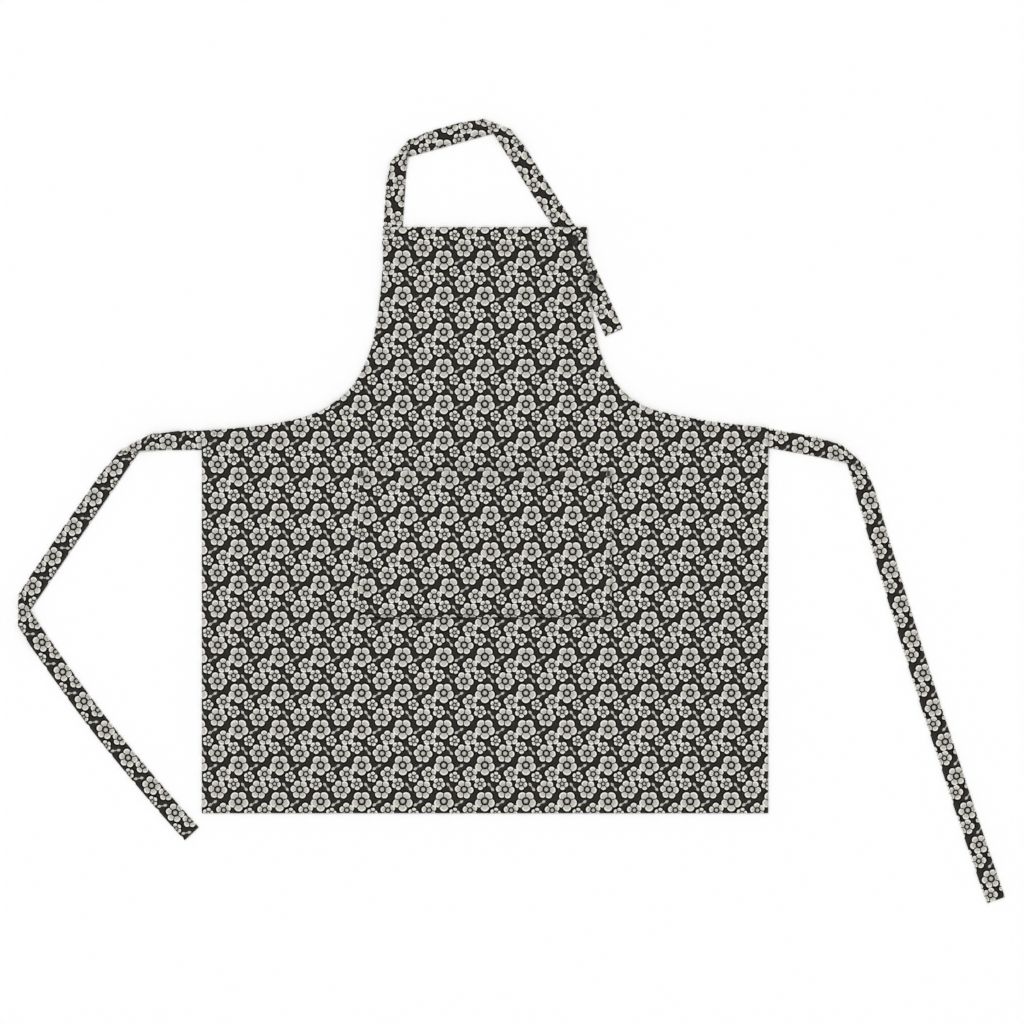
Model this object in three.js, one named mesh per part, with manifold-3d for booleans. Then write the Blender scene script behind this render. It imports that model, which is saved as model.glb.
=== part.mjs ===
// Long bib apron of printed cotton, laid out flat with its front up.
// Millimetres, Z up. The origin is on the back of the cloth, on the centre line,
// level with the waist ties. +Y runs up to the bib and +X to the buttoned side.
import * as THREE from 'three';
import { mergeVertices } from 'three/addons/utils/BufferGeometryUtils.js';
import Module from 'manifold-3d';

const wasm = await Module();
wasm.setup();

// Cloth, and the air between pieces that lie on each other
const CLOTH = 1.0;
const HEMMED = 2.0;
const GAP = 0.3;

// Depth of a cut, more than any height here, and the distance within which points are one
const CUT_DEPTH = 60;
const WELD = 1e-4;

// Panel: bib and skirt in one, with the width of the hem along each edge. The left armhole
// lies a little lower than the right one.
const BIB_HALF = 144;
const BIB_TOP = 301;
const SKIRT_HALF = 400;
const SKIRT_HEM = -527;
const HEM = { top: 28, armhole: 9, side: 14, bottom: 22 };
const ARMHOLE_STEPS = 44;
const ARMHOLE = [
  { half: 144, left: 249, right: 249 },
  { half: 147.5, left: 210, right: 210 },
  { half: 152.6, left: 170, right: 170 },
  { half: 162.5, left: 125.5, right: 125 },
  { half: 185.2, left: 79.6, right: 80 },
  { half: 220, left: 48.7, right: 50.6 },
  { half: 264.3, left: 30.2, right: 36.6 },
  { half: 327.9, left: 19.3, right: 25.4 },
  { half: 400, left: 13.4, right: 17.4 },
];

// Grid of the panel, closer where a strap lies beneath it
const PANEL_COLUMNS = [
  { to: -364, steps: 5 },
  { to: -164, steps: 4 },
  { to: -92, steps: 9 },
  { to: 76, steps: 4 },
  { to: 172, steps: 12 },
  { to: 364, steps: 4 },
  { to: 400, steps: 5 },
];
const PANEL_ROWS = [
  { to: -40, steps: 8 },
  { to: 40, steps: 10 },
  { to: 160, steps: 3 },
  { to: 301, steps: 18 },
];

// Patch pocket: sewn down at the sides and bottom, standing open a little at its mouth
const POCKET_HALF = 179;
const POCKET_TOP = -43;
const POCKET_BOTTOM = -250;
const POCKET_HEM = { top: 24, side: 10, bottom: 10 };
const POCKET_GAPE = 8;
const POCKET_CURVE = 1.5;
const POCKET_COLUMNS = [
  { to: -169, steps: 1 },
  { to: 169, steps: 18 },
  { to: 179, steps: 1 },
];
const POCKET_ROWS = [
  { to: -240, steps: 1 },
  { to: -67, steps: 8 },
  { to: -43, steps: 2 },
];

// Straps: folded cotton, creased flat where they turn
const STRAP_WIDTH = 27;
const STRAP_THICK = 1.6;
const STRAP_EDGE = 0.5;
const FOLD_RADIUS = 1.1;
const FOLD_STEPS = 6;
const FOLD_CLEAR = 17;
const FOLD_CLEAR_STEPS = 4;
const FOLD_RELAX = 15;
const FOLD_RELAX_STEPS = 5;
const PINCH_FADE = 20;
const PINCH_STEPS = 4;
const ROW_SPACING = 40;

// Each strap from its sewn end to its free end. At each point the next length lies
// over or under the last one, or bends in the plane. bow is the sideways swing of
// the length that leads to the point, to the left when positive, and pinch is how far
// the cloth is drawn in where it turns over.
const NECK_STRAP = [
  { x: -131.8, y: 275, turn: 'end', bow: 0, pinch: 0 },
  { x: -122.8, y: 410.5, turn: 'under', bow: 0, pinch: 4.6 },
  { x: 18.1, y: 449, turn: 'over', bow: 0, pinch: 4.2 },
  { x: 124.4, y: 282.2, turn: 'bend', bow: 0, pinch: 0 },
  { x: 182.3, y: 152.3, turn: 'end', bow: 0, pinch: 0 },
];
const WAIST_TIE_LEFT = [
  { x: -380, y: 0, turn: 'end', bow: 0, pinch: 0 },
  { x: -494.9, y: -1.1, turn: 'under', bow: 0, pinch: 4 },
  { x: -659.3, y: -240, turn: 'over', bow: 0, pinch: 1.6 },
  { x: -414.5, y: -556, turn: 'end', bow: -8.5, pinch: 0 },
];
const WAIST_TIE_RIGHT = [
  { x: 380, y: 6.7, turn: 'end', bow: 0, pinch: 0 },
  { x: 521.8, y: -19.4, turn: 'under', bow: 0, pinch: 4.2 },
  { x: 721.9, y: -650, turn: 'end', bow: -4.5, pinch: 0 },
];

// Cloth carried over the straps and the spare button beneath it
const CARRY_HALF = STRAP_WIDTH / 2 + 10;
const CARRY_FADE = 30;
const BUTTON_CLEAR = 18;
const BUTTON_FADE = 26;
const CARRIED_OVER = [
  { from: NECK_STRAP[0], to: NECK_STRAP[1] },
  { from: NECK_STRAP[2], to: NECK_STRAP[3] },
  { from: NECK_STRAP[3], to: NECK_STRAP[4] },
  { from: WAIST_TIE_LEFT[0], to: WAIST_TIE_LEFT[1] },
  { from: WAIST_TIE_RIGHT[0], to: WAIST_TIE_RIGHT[1] },
];

// Buttons, their thread shanks and the buttonhole, which runs along the strap. The fastened
// button stands on the bib, and the edge of the bib lies over part of the spare one.
const BUTTON_THICK = 2.8;
const BUTTON_SIDES = 28;
const BUTTON_PROFILE = [
  { radius: 0, z: 0 },
  { radius: 5.6, z: 0 },
  { radius: 7.1, z: 0.6 },
  { radius: 7.75, z: 1.5 },
  { radius: 7.4, z: 2.4 },
  { radius: 6.6, z: BUTTON_THICK },
  { radius: 5.2, z: 2.2 },
  { radius: 0, z: 2.0 },
];
const BUTTON_HOLE_RADIUS = 0.9;
const BUTTON_HOLE_SPREAD = 1.5;
const BUTTON_HOLES = 4;
const HOLE_SIDES = 12;
const SHANK_RADIUS = 1.4;
const BUTTON_FASTENED = { x: 124.4, y: 282.2, shank: HEMMED };
const BUTTON_SPARE = { x: 149.4, y: 229.1, shank: 0.6 };
const BUTTONHOLE = { length: 17, width: 3.6, below: 5.5 };

const ease = (share) => {
  const s = THREE.MathUtils.clamp(share, 0, 1);
  return s * s * (3 - 2 * s);
};

function gridLines(start, spans) {
  const lines = [start];
  for (const span of spans) {
    const from = lines[lines.length - 1];
    for (let i = 1; i <= span.steps; i += 1) {
      lines.push(from + ((span.to - from) * i) / span.steps);
    }
  }
  return lines;
}

function geometryOf(positions, index) {
  const geometry = new THREE.BufferGeometry();
  geometry.setAttribute('position', new THREE.Float32BufferAttribute(positions, 3));
  geometry.setIndex(index);
  return geometry;
}

function solidOf(geometry) {
  const bare = new THREE.BufferGeometry();
  bare.setAttribute('position', geometry.getAttribute('position'));
  bare.setIndex(geometry.getIndex());
  const merged = mergeVertices(bare, WELD);
  return new wasm.Manifold(new wasm.Mesh({
    numProp: 3,
    vertProperties: Float32Array.from(merged.getAttribute('position').array),
    triVerts: Uint32Array.from(merged.getIndex().array),
  }));
}

function geometryOfSolid(solid) {
  const mesh = solid.getMesh();
  return geometryOf(Array.from(mesh.vertProperties), Array.from(mesh.triVerts));
}

// A sheet on a grid of lines, between two heights above a surface
function sheet(columns, rows, surface, low, high) {
  const positions = [];
  for (const height of [low, high]) {
    for (const y of rows) {
      for (const x of columns) {
        positions.push(x, y, surface(x, y) + height);
      }
    }
  }
  const wide = columns.length;
  const layer = wide * rows.length;
  const index = [];
  const quad = (a, b, c, d) => index.push(a, b, c, a, c, d);
  for (let j = 0; j < rows.length - 1; j += 1) {
    for (let i = 0; i < wide - 1; i += 1) {
      const a = j * wide + i;
      const b = a + layer;
      quad(a, a + wide, a + wide + 1, a + 1);
      quad(b, b + 1, b + wide + 1, b + wide);
    }
  }
  const rim = [];
  for (let i = 0; i < wide - 1; i += 1) {
    rim.push(i);
  }
  for (let j = 0; j < rows.length - 1; j += 1) {
    rim.push(j * wide + wide - 1);
  }
  for (let i = wide - 1; i > 0; i -= 1) {
    rim.push((rows.length - 1) * wide + i);
  }
  for (let j = rows.length - 1; j > 0; j -= 1) {
    rim.push(j * wide);
  }
  rim.forEach((a, n) => {
    const b = rim[(n + 1) % rim.length];
    quad(a, b, b + layer, a + layer);
  });
  return geometryOf(positions, index);
}

// An upright block with the outline's plan, taller than any cloth
function block(outline) {
  const shape = new THREE.Shape(outline);
  const geometry = new THREE.ExtrudeGeometry(shape, { depth: CUT_DEPTH, bevelEnabled: false });
  geometry.translate(0, 0, -CUT_DEPTH / 2);
  return solidOf(geometry);
}

// Cloth cut to an outline, doubled between the outline and the line where its hem ends
function hemmedCloth(columns, rows, surface, outline, hemLine) {
  const cut = block(outline);
  const single = solidOf(sheet(columns, rows, surface, 0, CLOTH)).intersect(cut);
  const hem = cut.subtract(block(hemLine));
  const doubled = solidOf(sheet(columns, rows, surface, CLOTH / 2, HEMMED)).intersect(hem);
  return single.add(doubled);
}

// The panel's plan, drawn in from each edge by the width of its hem
function apronOutline(hem) {
  const top = BIB_TOP - hem.top;
  const skirtHalf = SKIRT_HALF - hem.side;
  const sideOf = (name) => {
    const edge = new THREE.SplineCurve(ARMHOLE.map((p) => new THREE.Vector2(p.half, p[name])));
    const points = [new THREE.Vector2(BIB_HALF - hem.armhole, top)];
    for (let i = 0; i <= ARMHOLE_STEPS; i += 1) {
      const share = i / ARMHOLE_STEPS;
      const along = edge.getTangent(share);
      const inward = new THREE.Vector2(along.y, -along.x);
      const p = edge.getPoint(share).addScaledVector(inward, hem.armhole);
      if (p.y < top && p.x < skirtHalf) {
        points.push(p);
      }
    }
    points.push(new THREE.Vector2(skirtHalf, ARMHOLE[ARMHOLE.length - 1][name] - hem.armhole));
    points.push(new THREE.Vector2(skirtHalf, SKIRT_HEM + hem.bottom));
    return points;
  };
  const left = sideOf('left').map((p) => new THREE.Vector2(-p.x, p.y)).reverse();
  return [...sideOf('right'), ...left];
}

function distanceTo(line, x, y) {
  const dx = line.to.x - line.from.x;
  const dy = line.to.y - line.from.y;
  const along = ((x - line.from.x) * dx + (y - line.from.y) * dy) / (dx * dx + dy * dy);
  const share = THREE.MathUtils.clamp(along, 0, 1);
  return Math.hypot(x - line.from.x - share * dx, y - line.from.y - share * dy);
}

// Height of a button's underside, on its shank
function buttonSeat(button) {
  return STRAP_THICK + GAP + button.shank + GAP;
}

// Height of the panel's back: on the floor, except over a strap or the spare button
function panelBack(x, y) {
  const near = Math.min(...CARRIED_OVER.map((line) => distanceTo(line, x, y)));
  const overStrap = (STRAP_THICK + GAP) * ease(1 - (near - CARRY_HALF) / CARRY_FADE);
  const reach = Math.hypot(x - BUTTON_SPARE.x, y - BUTTON_SPARE.y);
  const cleared = buttonSeat(BUTTON_SPARE) + BUTTON_THICK + GAP;
  const overButton = cleared * ease(1 - (reach - BUTTON_CLEAR) / BUTTON_FADE);
  return Math.max(overStrap, overButton);
}

// Height of the pocket's back: on the panel at its seams, highest in the middle of its mouth
function pocketBack(x, y) {
  const seam = POCKET_HALF - POCKET_HEM.side;
  const across = Math.max(0, 1 - (x / seam) ** 2) ** POCKET_CURVE;
  const foot = POCKET_BOTTOM + POCKET_HEM.bottom;
  const up = Math.max(0, (y - foot) / (POCKET_TOP - foot)) ** POCKET_CURVE;
  return CLOTH + GAP + POCKET_GAPE * across * up;
}

// Headings, lengths and creases of a strap's lengths, which turn over at each crease
function strapLegs(points) {
  const legs = [];
  let face = 1;
  for (let i = 1; i < points.length; i += 1) {
    const from = points[i - 1];
    const to = points[i];
    const chord = Math.hypot(to.x - from.x, to.y - from.y);
    const sweep = -4 * Math.atan((2 * to.bow) / chord);
    const length = sweep ? (chord * sweep) / 2 / Math.sin(sweep / 2) : chord;
    const heading = Math.atan2(to.y - from.y, to.x - from.x) - sweep / 2;
    legs.push({ from, to, sweep, length, heading, face });
    if (to.turn === 'over' || to.turn === 'under') {
      face = -face;
    }
  }
  for (let i = 1; i < legs.length; i += 1) {
    const last = legs[i - 1];
    const next = legs[i];
    const before = last.heading + last.sweep;
    const turn = Math.atan2(Math.sin(next.heading - before), Math.cos(next.heading - before));
    const line = before + turn / 2;
    const side = Math.sign(turn);
    const folded = last.to.turn !== 'bend';
    const joint = {
      at: last.to,
      folded,
      out: new THREE.Vector2(side * Math.sin(line), -side * Math.cos(line)),
      slant: folded ? last.face * side / Math.tan(Math.abs(turn) / 2) : -last.face * Math.tan(turn / 2),
      lean: Math.abs(Math.sin(turn / 2)),
      pinch: last.to.pinch,
      over: last.to.turn === 'over' ? 1 : -1,
    };
    last.end = joint;
    last.endLifted = folded && joint.over < 0;
    next.start = joint;
    next.startLifted = folded && joint.over > 0;
  }
  return legs;
}

function pointOnLeg(leg, along, across) {
  const half = (leg.sweep * along) / leg.length / 2;
  const reach = half ? (along * Math.sin(half)) / half : along;
  const course = leg.heading + half;
  const end = course + half;
  return new THREE.Vector2(
    leg.from.x + reach * Math.cos(course) - leg.face * across * Math.sin(end),
    leg.from.y + reach * Math.sin(course) + leg.face * across * Math.cos(end),
  );
}

function insideCrease({ at, out }, point) {
  return (at.x - point.x) * out.x + (at.y - point.y) * out.y;
}

// Height of a length's middle layer: lying on the floor, or on the length that it crosses at a crease
function legHeight(leg, point) {
  const rise = (crease) => ease(1 - (insideCrease(crease, point) - FOLD_CLEAR) / FOLD_RELAX);
  const first = leg.startLifted ? rise(leg.start) : 0;
  const last = leg.endLifted ? rise(leg.end) : 0;
  return STRAP_THICK / 2 + 2 * FOLD_RADIUS * Math.max(first, last);
}

// A point of a length, drawn in where the cloth is pinched by a crease
function drawnIn(leg, point) {
  const place = point.clone();
  for (const crease of [leg.start, leg.end].filter((joint) => joint)) {
    const share = ease(1 - insideCrease(crease, point) / PINCH_FADE);
    place.addScaledVector(crease.out, -crease.pinch * share);
  }
  return place;
}

// How far the rows keep to a crease, measured along the length, and how they are spaced
function creaseSpans(crease, lifted) {
  if (!crease || !crease.folded) {
    return [];
  }
  const spans = lifted
    ? [{ to: FOLD_CLEAR, steps: FOLD_CLEAR_STEPS }, { to: FOLD_CLEAR + FOLD_RELAX, steps: FOLD_RELAX_STEPS }]
    : [{ to: PINCH_FADE, steps: PINCH_STEPS }];
  return spans.map(({ to, steps }) => ({ to: to / crease.lean, steps }));
}

// Rows across a strap. They run along a crease where the cloth is pinched or comes down
// from it, and turn square to the strap further on.
function strapRows(legs) {
  const rows = [];
  for (const leg of legs) {
    const { start, end, length } = leg;
    const opening = gridLines(0, creaseSpans(start, leg.startLifted));
    const closing = gridLines(0, creaseSpans(end, leg.endLifted)).map((back) => length - back).reverse();
    const from = opening[opening.length - 1];
    const to = closing[0];
    const middle = gridLines(from, [{ to, steps: Math.ceil((to - from) / ROW_SPACING) }]);
    const alongs = [...opening, ...middle.slice(1), ...closing.slice(1)];
    const first = start ? start.slant : 0;
    const last = end ? end.slant : 0;
    for (const along of alongs.slice(start ? 1 : 0)) {
      const share = THREE.MathUtils.clamp((along - from) / (to - from), 0, 1);
      rows.push({ leg, along, slant: THREE.MathUtils.lerp(first, last, share), past: 0 });
    }
    if (end && end.folded) {
      for (let i = 1; i <= FOLD_STEPS; i += 1) {
        const past = (Math.PI * FOLD_RADIUS * i) / FOLD_STEPS;
        rows.push({ leg, along: length, slant: end.slant, past });
      }
    }
  }
  return rows;
}

// A point of the strap: across its width from the middle line, and out from its middle layer
function strapPoint(row, across, out) {
  const { leg, past } = row;
  const joint = leg.end;
  const flat = pointOnLeg(leg, row.along + row.slant * across, across);
  const place = drawnIn(leg, flat);
  const height = legHeight(leg, flat);
  if (past === 0) {
    return new THREE.Vector3(place.x, place.y, height + leg.face * out);
  }
  const angle = past / FOLD_RADIUS;
  const radius = FOLD_RADIUS - joint.over * leg.face * out;
  place.addScaledVector(joint.out, radius * Math.sin(angle));
  return new THREE.Vector3(place.x, place.y, height + joint.over * (FOLD_RADIUS - radius * Math.cos(angle)));
}

function strap(points) {
  const half = STRAP_WIDTH / 2;
  const flat = half - STRAP_EDGE;
  const thick = STRAP_THICK / 2;
  const edge = thick - STRAP_EDGE;
  const ring = [
    { across: -flat, out: -thick },
    { across: flat, out: -thick },
    { across: half, out: -edge },
    { across: half, out: edge },
    { across: flat, out: thick },
    { across: -flat, out: thick },
    { across: -half, out: edge },
    { across: -half, out: -edge },
  ];
  const rows = strapRows(strapLegs(points));
  const positions = [];
  for (const row of rows) {
    for (const corner of ring) {
      positions.push(...strapPoint(row, corner.across, corner.out).toArray());
    }
  }
  const size = ring.length;
  const index = [];
  for (let i = 0; i < rows.length - 1; i += 1) {
    for (let j = 0; j < size; j += 1) {
      const a = i * size + j;
      const b = i * size + ((j + 1) % size);
      index.push(a, b, b + size, a, b + size, a + size);
    }
  }
  const tail = (rows.length - 1) * size;
  for (let j = 1; j < size - 1; j += 1) {
    index.push(0, j + 1, j);
    index.push(tail, tail + j, tail + j + 1);
  }
  return geometryOf(positions, index);
}

function button() {
  const profile = BUTTON_PROFILE.map((p) => new THREE.Vector2(p.radius, p.z));
  const body = new THREE.LatheGeometry(profile, BUTTON_SIDES).rotateX(Math.PI / 2);
  let solid = solidOf(body);
  for (let i = 0; i < BUTTON_HOLES; i += 1) {
    const angle = (2 * Math.PI * (i + 0.5)) / BUTTON_HOLES;
    const hole = new THREE.CylinderGeometry(BUTTON_HOLE_RADIUS, BUTTON_HOLE_RADIUS, CUT_DEPTH, HOLE_SIDES);
    hole.rotateX(Math.PI / 2);
    hole.translate(BUTTON_HOLE_SPREAD * Math.cos(angle), BUTTON_HOLE_SPREAD * Math.sin(angle), 0);
    solid = solid.subtract(solidOf(hole));
  }
  return geometryOfSolid(solid);
}

function shank(height) {
  return new THREE.CylinderGeometry(SHANK_RADIUS, SHANK_RADIUS, height, HOLE_SIDES).rotateX(Math.PI / 2);
}

function apronPanel() {
  const columns = gridLines(-SKIRT_HALF, PANEL_COLUMNS);
  const rows = gridLines(SKIRT_HEM, PANEL_ROWS);
  const outline = apronOutline({ top: 0, armhole: 0, side: 0, bottom: 0 });
  const cloth = hemmedCloth(columns, rows, panelBack, outline, apronOutline(HEM));
  const bend = NECK_STRAP[3];
  const tail = NECK_STRAP[4];
  const heading = Math.atan2(tail.y - bend.y, tail.x - bend.x);
  const slit = new THREE.BoxGeometry(BUTTONHOLE.length, BUTTONHOLE.width, CUT_DEPTH);
  slit.translate(BUTTONHOLE.below, 0, 0);
  slit.rotateZ(heading);
  slit.translate(BUTTON_FASTENED.x, BUTTON_FASTENED.y, 0);
  return geometryOfSolid(cloth.subtract(solidOf(slit)));
}

function pocket() {
  const columns = gridLines(-POCKET_HALF, POCKET_COLUMNS);
  const rows = gridLines(POCKET_BOTTOM, POCKET_ROWS);
  const plan = (side, top, bottom) => [
    new THREE.Vector2(POCKET_HALF - side, POCKET_TOP - top),
    new THREE.Vector2(side - POCKET_HALF, POCKET_TOP - top),
    new THREE.Vector2(side - POCKET_HALF, POCKET_BOTTOM + bottom),
    new THREE.Vector2(POCKET_HALF - side, POCKET_BOTTOM + bottom),
  ];
  const hemLine = plan(POCKET_HEM.side, POCKET_HEM.top, POCKET_HEM.bottom);
  return geometryOfSolid(hemmedCloth(columns, rows, pocketBack, plan(0, 0, 0), hemLine));
}

const cotton = new THREE.MeshStandardMaterial({ color: 0x7a7973, roughness: 0.9, metalness: 0 });
const plastic = new THREE.MeshStandardMaterial({ color: 0x201c22, roughness: 0.35, metalness: 0 });
const thread = new THREE.MeshStandardMaterial({ color: 0x34322e, roughness: 0.8, metalness: 0 });

const group = new THREE.Group();

function place(name, geometry, material, x = 0, y = 0, z = 0) {
  const mesh = new THREE.Mesh(geometry, material);
  mesh.name = name;
  mesh.position.set(x, y, z);
  group.add(mesh);
}

place('apron_panel', apronPanel(), cotton);
place('pocket', pocket(), cotton);
place('neck_strap', strap(NECK_STRAP), cotton);
place('waist_tie_left', strap(WAIST_TIE_LEFT), cotton);
place('waist_tie_right', strap(WAIST_TIE_RIGHT), cotton);

const buttons = [
  { name: 'button_fastened', at: BUTTON_FASTENED },
  { name: 'button_spare', at: BUTTON_SPARE },
];
for (const { name, at } of buttons) {
  const seat = buttonSeat(at);
  place(name, button(), plastic, at.x, at.y, seat);
  place(`${name}_thread`, shank(at.shank), thread, at.x, at.y, (STRAP_THICK + seat) / 2);
}

export default group;
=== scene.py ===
# Long bib apron of printed cotton, laid out flat on a pale floor and seen from straight above.
# Metres, Z up. The origin is on the back of the cloth, level with the waist ties.
import math

import bpy
import numpy as np
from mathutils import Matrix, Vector, noise
from mathutils.geometry import delaunay_2d_cdt


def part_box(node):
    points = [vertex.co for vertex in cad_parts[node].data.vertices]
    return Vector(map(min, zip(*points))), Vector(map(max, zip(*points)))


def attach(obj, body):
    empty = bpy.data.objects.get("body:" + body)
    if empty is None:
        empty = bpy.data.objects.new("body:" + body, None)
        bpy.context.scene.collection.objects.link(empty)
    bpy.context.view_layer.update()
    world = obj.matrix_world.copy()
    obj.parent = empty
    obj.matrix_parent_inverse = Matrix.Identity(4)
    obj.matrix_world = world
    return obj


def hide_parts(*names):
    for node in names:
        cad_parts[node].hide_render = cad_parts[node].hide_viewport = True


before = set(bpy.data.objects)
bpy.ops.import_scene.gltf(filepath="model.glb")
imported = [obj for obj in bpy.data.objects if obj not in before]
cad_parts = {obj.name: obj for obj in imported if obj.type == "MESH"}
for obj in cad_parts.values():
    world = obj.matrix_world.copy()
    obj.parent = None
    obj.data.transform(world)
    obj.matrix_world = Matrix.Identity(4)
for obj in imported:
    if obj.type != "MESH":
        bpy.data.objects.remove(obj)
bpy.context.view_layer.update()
bpy.ops.object.select_all(action="DESELECT")


# Printed cotton
# The cloth that every soft piece is cut from: a plain weave, printed on one side with a tossed
# blossom design in cream on a charcoal ground. UV maps hold each piece's place on the flat cloth.
PRINT_COLOURS = {
    "Ground": (0.0300, 0.0280, 0.0243),
    "Line": (0.0040, 0.0037, 0.0030),
    "Petal": (0.545, 0.530, 0.484),
    "Petal edge": (0.862, 0.844, 0.786),
}
BACK_COLOURS = {
    "Ground": (0.230, 0.225, 0.210),
    "Line": (0.200, 0.195, 0.180),
    "Petal": (0.470, 0.460, 0.430),
    "Petal edge": (0.470, 0.460, 0.430),
}
WEAVE = {"pitch": 0.0007, "roundness": 0.6, "crossing": 0.1}
THREAD_WANDER = {"scale": 160, "detail": 1, "reach": 0.0007}
SLUBS = {"scale": 900, "detail": 3, "along": 0.12}
# Each row darkens the colour by one output of the weave. Height gives painted shade, darker in the dips
# between the thread crowns; Shade and Slub are the yarns' own uneven tone.
WEAVE_TONE_AND_PAINTED_SHADE = (
    {"effect": "Height", "least": 0.86, "gain": 0.26},
    {"effect": "Shade", "least": 0.91, "gain": 0.18},
    {"effect": "Slub", "least": 0.85, "gain": 0.30},
)
WEAVE_RELIEF = {"strength": 0.5, "distance": 0.00025}
COTTON_ROUGHNESS = {"bare": 0.80, "ink": -0.06, "slub": 0.16}
COTTON_FINISH = {"Sheen Weight": 0.015, "Sheen Roughness": 0.6, "Specular IOR Level": 0.04}

# The design is in millimetres, but a blossom's notch, eye and star are shares of its radius
PRINT_REPEAT = (58.0, 51.0)
PRINT_BLEED = {"scale": 1100, "detail": 1, "reach": 0.35}
BLOSSOMS = (
    {"at": (0.0, 0.0), "radius": 14.2, "turn": 0.30, "petals": 5},
    {"at": (28.8, 16.6), "radius": 13.2, "turn": 1.15, "petals": 6},
    {"at": (37.2, 38.4), "radius": 10.5, "turn": 0.80, "petals": 5},
    {"at": (51.1, 24.6), "radius": 8.7, "turn": 0.20, "petals": 5},
    {"at": (15.0, 34.2), "radius": 7.5, "turn": 2.40, "petals": 5},
)
PETAL = {"notch": 0.62, "roundness": 0.55, "blur": 0.25, "gap": (0.40, 0.95), "light_edge": (3.2, 0.8)}
EYE = (0.40, 0.45)
STAR = {"reach": 0.12, "edge": (0.15, 0.11)}
OUTLINE = (-3.0, -1.9)
LEAF_PAIRS = (
    {"at": (21.5, 48.2), "turn": -0.55},
    {"at": (8.4, 20.2), "turn": 0.95},
)
LEAF = {"from_dot": 4.1, "half_length": 3.1, "half_width": 1.9, "dot": 0.9}
LEAF_OUTLINE = (-1.3, -0.6)


def wire(value, socket):
    if isinstance(value, bpy.types.NodeSocket):
        socket.id_data.links.new(value, socket)
    else:
        socket.default_value = value


def wire_all(values, sockets):
    for label, value in values.items():
        wire(value, sockets[label])


def node_for(values, kind):
    """A new node in the tree that the first socket among the values is in."""
    tree = next(value.id_data for value in values if isinstance(value, bpy.types.NodeSocket))
    return tree.nodes.new(kind)


def math_node(kind, operation, values):
    node = node_for(values, kind)
    node.operation = operation
    for value, socket in zip(values, node.inputs):
        wire(value, socket)
    return node.outputs


def calc(operation, *values):
    return math_node("ShaderNodeMath", operation, values)["Value"]


def vector_calc(operation, *values):
    answer = "Value" if operation == "LENGTH" else "Vector"
    return math_node("ShaderNodeVectorMath", operation, values)[answer]


def parted(vector):
    node = node_for([vector], "ShaderNodeSeparateXYZ")
    wire(vector, node.inputs["Vector"])
    return node.outputs


def soft_step(value, low, high):
    node = node_for([value], "ShaderNodeMapRange")
    node.interpolation_type = "SMOOTHSTEP"
    wire_all({"Value": value, "From Min": low, "From Max": high}, node.inputs)
    return node.outputs["Result"]


def mix_colour(share, below, above):
    node = node_for([share], "ShaderNodeMix")
    node.data_type = "RGBA"
    wire(share, node.inputs["Factor"])
    for value, socket in ((below, node.inputs[6]), (above, node.inputs[7])):
        wire(value if isinstance(value, bpy.types.NodeSocket) else (*value, 1.0), socket)
    return node.outputs[2]


def cloudy(place, scale, detail):
    node = node_for([place], "ShaderNodeTexNoise")
    wire_all({"Vector": place, "Scale": scale, "Detail": detail}, node.inputs)
    return node.outputs


def wandering(place, cloth, scale, detail, reach):
    """A place that strays a little to each side from spot to spot of the cloth."""
    stray = vector_calc("MULTIPLY", cloudy(cloth, scale, detail)["Color"], (reach, reach, 0))
    return vector_calc("ADD", place, stray)


def bumped(height, strength, distance):
    node = node_for([height], "ShaderNodeBump")
    wire_all({"Height": height, "Strength": strength, "Distance": distance}, node.inputs)
    return node.outputs["Normal"]


def new_group(name, inputs, outputs):
    tree = bpy.data.node_groups.new(name, "ShaderNodeTree")
    for label, kind in inputs:
        tree.interface.new_socket(label, in_out="INPUT", socket_type=f"NodeSocket{kind}")
    for label, kind in outputs:
        tree.interface.new_socket(label, in_out="OUTPUT", socket_type=f"NodeSocket{kind}")
    return tree, tree.nodes.new("NodeGroupInput").outputs, tree.nodes.new("NodeGroupOutput").inputs


def use_group(group, **values):
    node = node_for(values.values(), "ShaderNodeGroup")
    node.node_tree = group
    wire_all(values, node.inputs)
    return node.outputs


def new_material(name, finish):
    """A material, with what is the same all over its surface set there."""
    material = bpy.data.materials.new(name)
    material.use_nodes = True
    surface = material.node_tree.nodes["Principled BSDF"].inputs
    wire_all(finish, surface)
    return material, material.node_tree, surface


# One blossom: round petals about a dark eye with a light star in it, in a thin dark outline
blossom, given, out = new_group(
    "Blossom",
    (("Place", "Vector"), ("Radius", "Float"), ("Turn", "Float"), ("Petals", "Float")),
    (("Ink", "Float"), ("Rim", "Float"), ("Halo", "Float")),
)
reach = vector_calc("LENGTH", given["Place"])
share_out = calc("DIVIDE", reach, given["Radius"])
place = parted(given["Place"])
bearing = calc("ADD", calc("ARCTAN2", place["Y"], place["X"]), given["Turn"])
half_petals = calc("DIVIDE", given["Petals"], 2.0)
lobe = calc("ABSOLUTE", calc("COSINE", calc("MULTIPLY", bearing, half_petals)))
rounded = calc("POWER", lobe, PETAL["roundness"])
bulge = calc("MULTIPLY_ADD", rounded, 1 - PETAL["notch"], PETAL["notch"])
inside = calc("SUBTRACT", calc("MULTIPLY", bulge, given["Radius"]), reach)
petal = soft_step(inside, -PETAL["blur"], PETAL["blur"])
from_gap = calc("DIVIDE", calc("MULTIPLY", reach, lobe), half_petals)
past_gap = soft_step(from_gap, *PETAL["gap"])
past_eye = soft_step(share_out, *EYE)
petals_ink = calc("MULTIPLY", calc("MULTIPLY", petal, past_gap), past_eye)
ray = calc("ABSOLUTE", calc("COSINE", calc("MULTIPLY", bearing, given["Petals"])))
star_ink = soft_step(calc("MULTIPLY_ADD", ray, -STAR["reach"], share_out), *STAR["edge"])
wire(calc("MAXIMUM", petals_ink, star_ink), out["Ink"])
wire(soft_step(inside, *PETAL["light_edge"]), out["Rim"])
wire(soft_step(inside, *OUTLINE), out["Halo"])

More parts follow.
